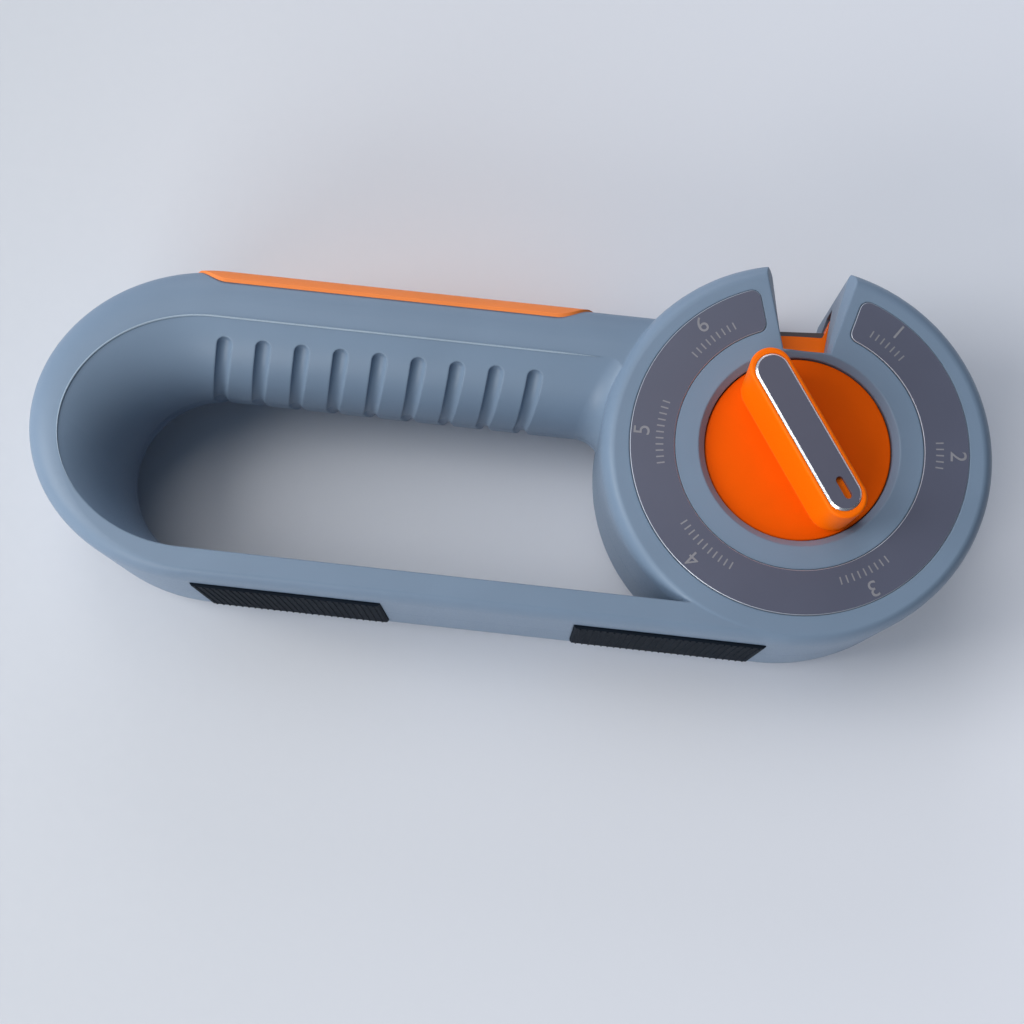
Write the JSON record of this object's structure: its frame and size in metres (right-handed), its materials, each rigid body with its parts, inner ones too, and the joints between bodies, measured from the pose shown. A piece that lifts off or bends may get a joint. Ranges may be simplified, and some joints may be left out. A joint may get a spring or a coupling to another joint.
{
  "type": "manual knife sharpener",
  "caption": "Hand-held knife sharpener with an open grip loop, a round head with a V-shaped blade notch, and a turning dial that brings different honing stations into the notch.",
  "frame": {"origin": "on the dial axis, in the plane of the casing's flat back", "axes": "+Z along the dial axis out of the dial, +X along the base from the grip loop towards the head, +Y from the feet towards the blade notch"},
  "size_m": [0.2122, 0.0854, 0.056],
  "materials": {
    "casing": "satin blue-grey moulding",
    "label": "dark slate, satin",
    "grip_rubber": "matt orange soft grip",
    "foot_rubber": "matt, finely ridged",
    "orange_plastic": "orange, low gloss",
    "turret_plastic": "orange moulding",
    "inlay": "dark satin with a bright cut edge",
    "steel": "zinc plated",
    "spring_steel": "spring temper",
    "bush": "turned",
    "hard_metal": "ground carbide",
    "coated_hone": "grit coated",
    "ceramic": "fired ceramic",
    "fine_ceramic": "fine fired ceramic"
  },
  "bodies": {
    "casing": {"front_shell": "casing", "back_shell": "casing", "label_ring": "label", "grip_strip": "grip_rubber", "head_foot": "foot_rubber", "loop_foot": "foot_rubber", "casing_screws": "steel", "spindle_bush": "bush", "thrust_washer": "steel", "detent_spring": "spring_steel"},
    "turret": {"dial_knob": "orange_plastic", "knob_inlay": "inlay", "turret_front": "turret_plastic", "turret_rear": "turret_plastic", "turret_screws": "steel", "centre_washer": "steel", "centre_screw": "steel", "coarse_blade_front": "hard_metal", "coarse_blade_rear": "hard_metal", "fine_rod_front": "ceramic", "fine_rod_rear": "ceramic", "shear_hone": "coated_hone", "bevel_blade_front": "hard_metal", "bevel_blade_rear": "hard_metal", "slim_rod_front": "ceramic", "slim_rod_rear": "ceramic", "finish_rod_front": "fine_ceramic", "finish_rod_rear": "fine_ceramic"}
  },
  "joints": [
    {"name": "dial_turn", "type": "hinge", "parent": "casing", "child": "turret", "pos_m": [0, 0, 0.022], "axis": [0, 0, 1], "continuous": true, "deforming": ["detent_spring"]}
  ]
}
